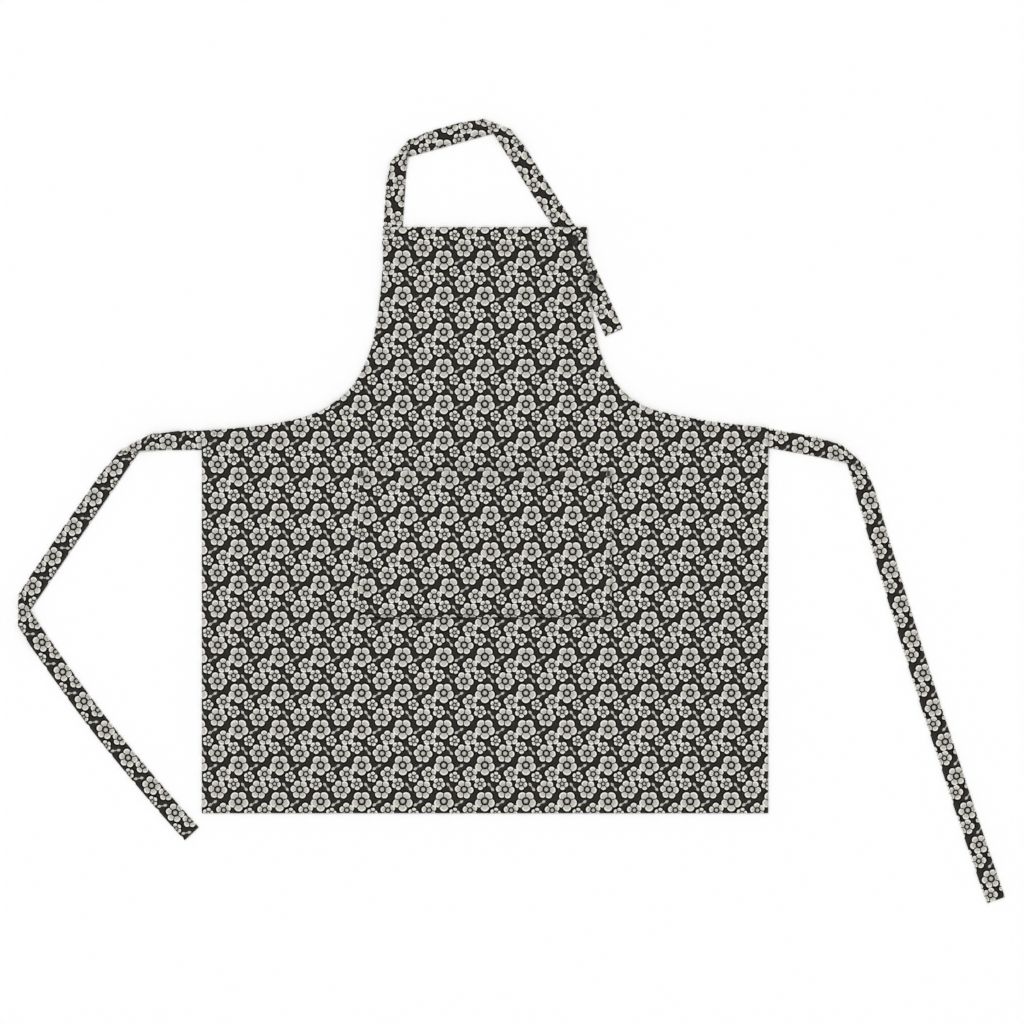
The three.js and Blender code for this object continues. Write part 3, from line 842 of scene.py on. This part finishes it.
def strap_lengths(points):
    """The straight or bowed lengths of a strap, each with its crease to the next one."""
    lengths = []
    face = 1
    for a, b in zip(points[:-1], points[1:]):
        chord = math.hypot(b["x"] - a["x"], b["y"] - a["y"])
        sweep = -4 * math.atan(2 * b.get("bow", 0) / chord)
        run = chord * sweep / 2 / math.sin(sweep / 2) if sweep else chord
        heading = math.atan2(b["y"] - a["y"], b["x"] - a["x"]) - sweep / 2
        length = {"a": a, "sweep": sweep, "run": run, "heading": heading, "face": face, "starts": 0.0}
        lengths.append(length | {"start": None, "end": None, "lifted_start": False, "lifted_end": False})
        if b["turn"] in ("over", "under"):
            face = -face
    for last, following, at in zip(lengths[:-1], lengths[1:], points[1:-1]):
        before = last["heading"] + last["sweep"]
        turn = math.remainder(following["heading"] - before, 2 * math.pi)
        side = math.copysign(1, turn)
        line = before + turn / 2
        folded = at["turn"] != "bend"
        crease = {
            "at": np.array((at["x"], at["y"])),
            "out": np.array((side * math.sin(line), -side * math.cos(line))),
            "slant": last["face"] * (side / math.tan(abs(turn) / 2) if folded else -math.tan(turn / 2)),
            "lean": abs(math.sin(turn / 2)),
            "folded": folded,
            "pinch": at.get("pinch", 0),
            "over": 1 if at["turn"] == "over" else -1,
        }
        last["end"] = crease
        last["lifted_end"] = folded and crease["over"] < 0
        following["start"] = crease
        following["lifted_start"] = folded and crease["over"] > 0
        round_fold = math.pi * FOLD_RADIUS / crease["lean"] if folded else 0
        following["starts"] = last["starts"] + last["run"] + round_fold
    return lengths


def strap_run(lengths):
    return lengths[-1]["starts"] + lengths[-1]["run"]


def place_on(length, along, across):
    half = length["sweep"] * along / length["run"] / 2
    reach = along * math.sin(half) / half if half else along
    course = length["heading"] + half
    end = course + half
    aside = length["face"] * across
    x = length["a"]["x"] + reach * math.cos(course) - aside * math.sin(end)
    y = length["a"]["y"] + reach * math.sin(course) + aside * math.cos(end)
    return np.array((x, y))


def settle(length, place):
    """A point drawn in where a crease pinches the cloth, and the height of the middle layer there."""
    rise = 0.0
    drawn = place.copy()
    for name in ("start", "end"):
        crease = length[name]
        if crease and crease["folded"]:
            inside = (crease["at"] - place) @ crease["out"]
            drawn -= crease["out"] * crease["pinch"] * ease(1 - inside / PINCH_FADE)
            if length[f"lifted_{name}"]:
                rise = max(rise, ease(1 - (inside - FOLD_CLEAR) / FOLD_RELAX))
    return drawn, STRAP_THICK / 2 + 2 * FOLD_RADIUS * rise


def sway(lengths, along, waves, size, seed):
    """A slow wander along a strap, different on each one."""
    return size * noise.noise((along * waves, lengths[0]["a"]["x"] * STRAPS_APART, seed))


def lay(lengths, along, across, out):
    """Where a point of the flat strip comes to lie once the strap is folded and laid out."""
    inset = clamped((STRAP_WIDTH / 2 - abs(across)) / CREASE_ROUND["reach"])
    bulge = at_least(CREASE_ROUND["tip"], quarter_round(inset))
    across += sway(lengths, along, **STRAP_WOBBLE)
    lift = (STRAP_LIFT["size"] + sway(lengths, along, **STRAP_LIFT)) / 2
    for length in lengths:
        start = length["start"]
        crease = length["end"]
        own = along - length["starts"]
        if crease:
            past = (own - length["run"] - crease["slant"] * across) * crease["lean"]
            if crease["folded"] and 0 < past < math.pi * FOLD_RADIUS:
                edge = place_on(length, length["run"] + crease["slant"] * across, across)
                foot, height = settle(length, edge)
                angle = past / FOLD_RADIUS
                radius = FOLD_RADIUS - crease["over"] * length["face"] * out
                foot += crease["out"] * radius * math.sin(angle) * bulge
                return (*foot, height + lift + crease["over"] * (FOLD_RADIUS - radius * math.cos(angle)))
        if not crease or past <= 0:
            if start and not start["folded"]:
                own -= 2 * start["slant"] * across * max(0.0, 1 - own / BEND_EASE)
            place, height = settle(length, place_on(length, own, across))
            return (*place, height + lift + length["face"] * out)


def strap_rows(lengths):
    """Rows across the strip. They follow a crease where a length comes down from it."""
    rows = []
    for length in lengths:
        run = length["run"]
        start = length["start"]
        crease = length["end"]
        first = start["slant"] if start and start["folded"] else 0.0
        last = crease["slant"] if crease else 0.0
        begin = (FOLD_CLEAR + FOLD_RELAX) / start["lean"] if length["lifted_start"] else 0.0
        finish = run - ((FOLD_CLEAR + FOLD_RELAX) / crease["lean"] if length["lifted_end"] else 0.0)
        stops = list(np.linspace(0, run, round(run / ROW_SPACING) + 1))[1:]
        if not start:
            stops = [*END_ROWS, *stops]
        if not crease:
            stops = [*stops[:-1], *(run - step for step in reversed(END_ROWS))]
        for stop in stops:
            share = clamped((stop - begin) / (finish - begin))
            rows.append((length["starts"] + stop, first + (last - first) * share))
        if crease and crease["folded"]:
            for i in range(1, FOLD_ROWS + 1):
                past = math.pi * FOLD_RADIUS * i / FOLD_ROWS
                rows.append((length["starts"] + run + past / crease["lean"], crease["slant"]))
    return rows


def strap_cloth(name, lengths):
    """A closed strip, rolled at its edges and grooved along its stitching."""
    half = STRAP_WIDTH / 2
    total = strap_run(lengths)
    acrosses = [half - step for step in EDGE_STEPS] + [step - half for step in reversed(EDGE_STEPS)]
    ring = [(across, -1) for across in reversed(acrosses)] + [(across, 1) for across in acrosses[1:-1]]
    rows = strap_rows(lengths)
    points = []
    flat = []
    for at, slant in rows:
        for across, side in ring:
            along = min(max(at + slant * across, 0.0), total)
            from_edge = half - abs(across)
            roll = clamped(min(from_edge, at, total - at) / EDGE_ROLL)
            groove = math.exp(-(((from_edge - STRAP_STITCH_IN) / STRAP_GROOVE["width"]) ** 2))
            out = STRAP_THICK / 2 * quarter_round(roll) - STRAP_GROOVE["depth"] * groove * roll
            points.append(lay(lengths, along, across, side * out))
            flat.append((across + lengths[0]["a"]["x"], along))
    size = len(ring)
    faces = []
    for i in range(len(rows) - 1):
        for j in range(size):
            a = i * size + j
            b = i * size + (j + 1) % size
            faces.append((a, b, b + size, a + size))
    piece = laid_piece(name, points, faces, (printed_cotton,))
    put_on_cloth(piece, np.array(flat))
    only_select(piece)
    bpy.ops.object.mode_set(mode="EDIT")
    bpy.ops.mesh.select_all(action="SELECT")
    bpy.ops.mesh.remove_doubles(threshold=WELD)
    bpy.ops.object.mode_set(mode="OBJECT")
    return piece


def strap_stitches(lengths):
    """Rows along both edges, seen on both faces of the strip."""
    total = strap_run(lengths)
    stops = np.linspace(STRAP_STITCH_IN, total - STRAP_STITCH_IN, round(total / STITCH_PITCH))
    rows = []
    for side in (1, -1):
        for edge in (1, -1):
            across = edge * (STRAP_WIDTH / 2 - STRAP_STITCH_IN)
            line = np.array([lay(lengths, along, across, side * THREAD_SEAT) for along in stops])
            up = line - np.array([lay(lengths, along, across, 0) for along in stops])
            middles = (line[1:] + line[:-1]) / 2
            rows.append((middles, unit(np.diff(line, axis=0)), unit((up[1:] + up[:-1]) / 2)))
    return rows


for row in STRAPS:
    lengths = strap_lengths(row["points"])
    strap = strap_cloth(row["piece"], lengths)
    stands_for(strap, row["node"])
    strap_stitching = sew(f"{row['node']}_stitching", strap_stitches(lengths))


# Buttons
# Two turned plastic buttons with a raised rim, four holes and a shallow dish, sewn to the strap. A paler
# ring in the dish is a painted reflection of the softbox, strong on the spare button and faint on the
# fastened one.
# One comes up through the buttonhole, and the bib's edge lies over part of the spare one.
BUTTON_RADIUS = 0.00775
BUTTON_SIDES = 48
BUTTON_TURNING = (
    {"inward": 0.0013, "down": 0},
    {"inward": 0.0010, "down": 0.0006},
    {"inward": 0.0009, "down": 0.0002},
    {"inward": 0.0005, "down": 0},
    {"inward": 0.0012, "down": 0},
    {"inward": 0.0004, "down": 0},
)
BUTTON_DISH = sum(row["down"] for row in BUTTON_TURNING)
BUTTON_BACK = {"inward": 0.0018, "down": 0.0002}
BUTTON_ROUNDING = {"width": 0.0006, "segments": 4, "sharper_than": math.radians(20)}
BUTTON_HOLES = {"count": 4, "radius": 0.0008, "spread": 0.0015, "sides": 20}
BUTTON_SMOOTH = math.radians(35)
# The ring colour is a painted reflection: paler plastic where the softbox would be mirrored in the dish.
BUTTON_COLOURS = {
    "body": (0.0060, 0.0050, 0.0045),
    "vein": (0.0225, 0.0185, 0.0165),
    "ring": (0.205, 0.196, 0.185),
}
BUTTON_MARBLE = {"scale": 420, "detail": 4, "veins": (0.35, 0.75)}
BUTTON_SCUFFS = {"scale": 2600, "detail": 2}
BUTTON_ROUGHNESS = {"polished": 0.12, "scuff": 0.25}
SCUFF_RELIEF = {"strength": 0.08, "distance": 0.0001}
BUTTON_FINISH = {"Specular IOR Level": 0.2}
# Inner and outer radius of the painted reflection ring on the button's top.
PAINTED_REFLECTION_RING = (0.0027, 0.0043)
SHANK = {"radius": 0.0010, "sides": 20, "rounding": 0.0002, "segments": 2}
STRAND = {"size": (0.0020, 0.00028, 0.00035), "aside": (-0.0004, 0, 0.0004), "above": 0.0003}
FACING = 0.9
round_rim = np.column_stack((np.cos(round_slit), np.sin(round_slit))) * BUTTON_RADIUS
FASTENED_SEAT = panel_front(shank_at + round_rim)[:, 2].max() + GAP
# Each button's ring share is how strongly the painted reflection shows on it.
BUTTONS = (
    {"name": "button_fastened", "at": shank_at, "seat": FASTENED_SEAT, "ring": 0.05},
    {"name": "button_spare", "at": SPARE_BUTTON, "seat": SPARE_SEAT, "ring": 1.0},
)

button_plastic, tree, surface = new_material("button plastic", BUTTON_FINISH)
where = tree.nodes.new("ShaderNodeTexCoord").outputs["Object"]
clouds = cloudy(where, BUTTON_MARBLE["scale"], BUTTON_MARBLE["detail"])["Fac"]
veins = soft_step(clouds, *BUTTON_MARBLE["veins"])
marble = mix_colour(veins, BUTTON_COLOURS["body"], BUTTON_COLOURS["vein"])
# A paler ring painted in the dish stands in for the softbox's reflection.
on_painted_reflection = tree.nodes.new("ShaderNodeAttribute")
on_painted_reflection.attribute_name = "painted reflection ring"
wire(mix_colour(on_painted_reflection.outputs["Fac"], marble, BUTTON_COLOURS["ring"]), surface["Base Color"])
scuffs = cloudy(where, **BUTTON_SCUFFS)["Fac"]
rough = calc("MULTIPLY_ADD", scuffs, BUTTON_ROUGHNESS["scuff"], BUTTON_ROUGHNESS["polished"])
wire(rough, surface["Roughness"])
wire(bumped(scuffs, **SCUFF_RELIEF), surface["Normal"])


def select_faces(piece, test):
    """In edit mode, leaves only the faces selected that pass the test."""
    bpy.ops.mesh.select_mode(type="FACE")
    bpy.ops.mesh.select_all(action="DESELECT")
    bpy.ops.object.mode_set(mode="OBJECT")
    for face in piece.data.polygons:
        face.select = test(face)
    bpy.ops.object.mode_set(mode="EDIT")


# One button, turned at the origin and drilled, to be copied
bpy.ops.object.select_all(action="DESELECT")
bpy.ops.mesh.primitive_cylinder_add(vertices=BUTTON_SIDES, radius=BUTTON_RADIUS, depth=BUTTON_HEIGHT)
button = bpy.context.object
bpy.ops.object.mode_set(mode="EDIT")
select_faces(button, lambda face: face.normal.z > FACING)
for row in BUTTON_TURNING:
    bpy.ops.mesh.inset(thickness=row["inward"])
    bpy.ops.transform.translate(value=(0, 0, -row["down"]))
select_faces(button, lambda face: face.normal.z < -FACING)
bpy.ops.mesh.inset(thickness=BUTTON_BACK["inward"])
bpy.ops.transform.translate(value=(0, 0, -BUTTON_BACK["down"]))
bpy.ops.object.mode_set(mode="OBJECT")
rounding = button.modifiers.new("rounding", "BEVEL")
rounding.width = BUTTON_ROUNDING["width"]
rounding.segments = BUTTON_ROUNDING["segments"]
rounding.limit_method = "ANGLE"
rounding.angle_limit = BUTTON_ROUNDING["sharper_than"]
bpy.ops.object.modifier_apply(modifier=rounding.name)
for i in range(BUTTON_HOLES["count"]):
    way = 2 * math.pi * (i + 0.5) / BUTTON_HOLES["count"]
    bpy.ops.mesh.primitive_cylinder_add(
        vertices=BUTTON_HOLES["sides"],
        radius=BUTTON_HOLES["radius"],
        depth=3 * BUTTON_HEIGHT,
        location=(BUTTON_HOLES["spread"] * math.cos(way), BUTTON_HOLES["spread"] * math.sin(way), 0),
    )
    drill = bpy.context.object
    only_select(button)
    drilled = button.modifiers.new("drilled", "BOOLEAN")
    drilled.operation = "DIFFERENCE"
    drilled.object = drill
    bpy.ops.object.modifier_apply(modifier=drilled.name)
    bpy.data.objects.remove(drill)
bpy.ops.object.shade_smooth_by_angle(angle=BUTTON_SMOOTH)


def place_piece(piece, name, at, material):
    """Names a piece modelled at the origin, and moves its mesh to its place."""
    piece.name = name
    piece.location = at
    only_select(piece)
    bpy.ops.object.transform_apply(location=True)
    piece.data.materials.clear()
    piece.data.materials.append(material)


def copied_button(name, at, seat, ring):
    piece = button.copy()
    piece.data = button.data.copy()
    bpy.context.collection.objects.link(piece)
    painted_reflection = piece.data.attributes.new("painted reflection ring", "FLOAT", "POINT")
    # Marks the painted reflection ring on the button's top, as strong as its ring share.
    for vertex in piece.data.vertices:
        turned = vertex.co.z > 0 and PAINTED_REFLECTION_RING[0] < vertex.co.xy.length < PAINTED_REFLECTION_RING[1]
        painted_reflection.data[vertex.index].value = ring if turned else 0
    place_piece(piece, f"{name}_turned", (*at, seat + BUTTON_HEIGHT / 2), button_plastic)
    stands_for(piece, name)


def wound_shank(name, at, seat):
    """The thread between strap and button, wound round itself."""
    low = STRAP_THICK + GAP
    high = seat - BUTTON_BACK["down"] - THREAD_GAP
    bpy.ops.mesh.primitive_cylinder_add(vertices=SHANK["sides"], radius=SHANK["radius"], depth=high - low)
    piece = bpy.context.object
    bpy.ops.object.mode_set(mode="EDIT")
    select_faces(piece, lambda face: abs(face.normal.z) > FACING)
    bpy.ops.mesh.bevel(offset=SHANK["rounding"], segments=SHANK["segments"])
    bpy.ops.object.mode_set(mode="OBJECT")
    bpy.ops.object.shade_smooth()
    place_piece(piece, f"{name}_shank", (*at, (low + high) / 2), sewing_thread)
    stands_for(piece, f"{name}_thread")


def crossed_strands(name, at, seat):
    """Thread from hole to hole, in two crossing bundles on the floor of the dish."""
    dish = seat + BUTTON_HEIGHT - BUTTON_DISH + THREAD_GAP
    bundles = []
    for i, way in enumerate((math.pi / 4, -math.pi / 4)):
        along = np.array((math.cos(way), math.sin(way), 0))
        aside = np.array((-along[1], along[0], 0))
        spots = np.array([(*at, dish + i * STRAND["above"]) + aside * step for step in STRAND["aside"]])
        bundles.append((spots, along, UPWARD))
    sew(f"{name}_strands", bundles, STRAND["size"])


for row in BUTTONS:
    copied_button(**row)
    wound_shank(row["name"], row["at"], row["seat"])
    crossed_strands(row["name"], row["at"], row["seat"])
bpy.data.objects.remove(button)


# Floor, light and camera
# A pale seamless floor under soft studio light, with the camera straight above the apron.
FLOOR_SIZE = 60
FLOOR_BELOW = 0.0004
PAPER_FINISH = {"Base Color": (0.98, 0.98, 0.98, 1), "Roughness": 0.9}
SKY = {"Color": (1, 1, 1, 1), "Strength": 0.72}
SOFTBOX = {"from": (-1.5, 1.6, 3.0), "spread": math.radians(35), "strength": 1.15}
VIEW_CENTRE = (0.0382, -0.1016)
VIEW_WIDTH = 1.4473
CAMERA_HEIGHT = 4.0
SENSOR_WIDTH = 36
bpy.ops.mesh.primitive_plane_add(size=FLOOR_SIZE, location=(0, 0, -FLOOR_BELOW))
floor = bpy.context.object
floor.name = "floor"
floor.data.materials.append(new_material("white paper", PAPER_FINISH)[0])

world = bpy.data.worlds.new("studio")
world.use_nodes = True
wire_all(SKY, world.node_tree.nodes["Background"].inputs)
bpy.context.scene.world = world
key = bpy.data.lights.new("softbox", "SUN")
key.angle = SOFTBOX["spread"]
key.energy = SOFTBOX["strength"]
softbox = bpy.data.objects.new("softbox", key)
softbox.location = SOFTBOX["from"]
softbox.rotation_euler = (-softbox.location).to_track_quat("-Z", "Y").to_euler()
bpy.context.collection.objects.link(softbox)

lens = bpy.data.cameras.new("camera")
lens.sensor_width = SENSOR_WIDTH
lens.lens = SENSOR_WIDTH * CAMERA_HEIGHT / VIEW_WIDTH
camera = bpy.data.objects.new("camera", lens)
camera.location = (*VIEW_CENTRE, CAMERA_HEIGHT)
bpy.context.collection.objects.link(camera)
bpy.context.scene.camera = camera
bpy.context.scene.view_settings.view_transform = "Standard"
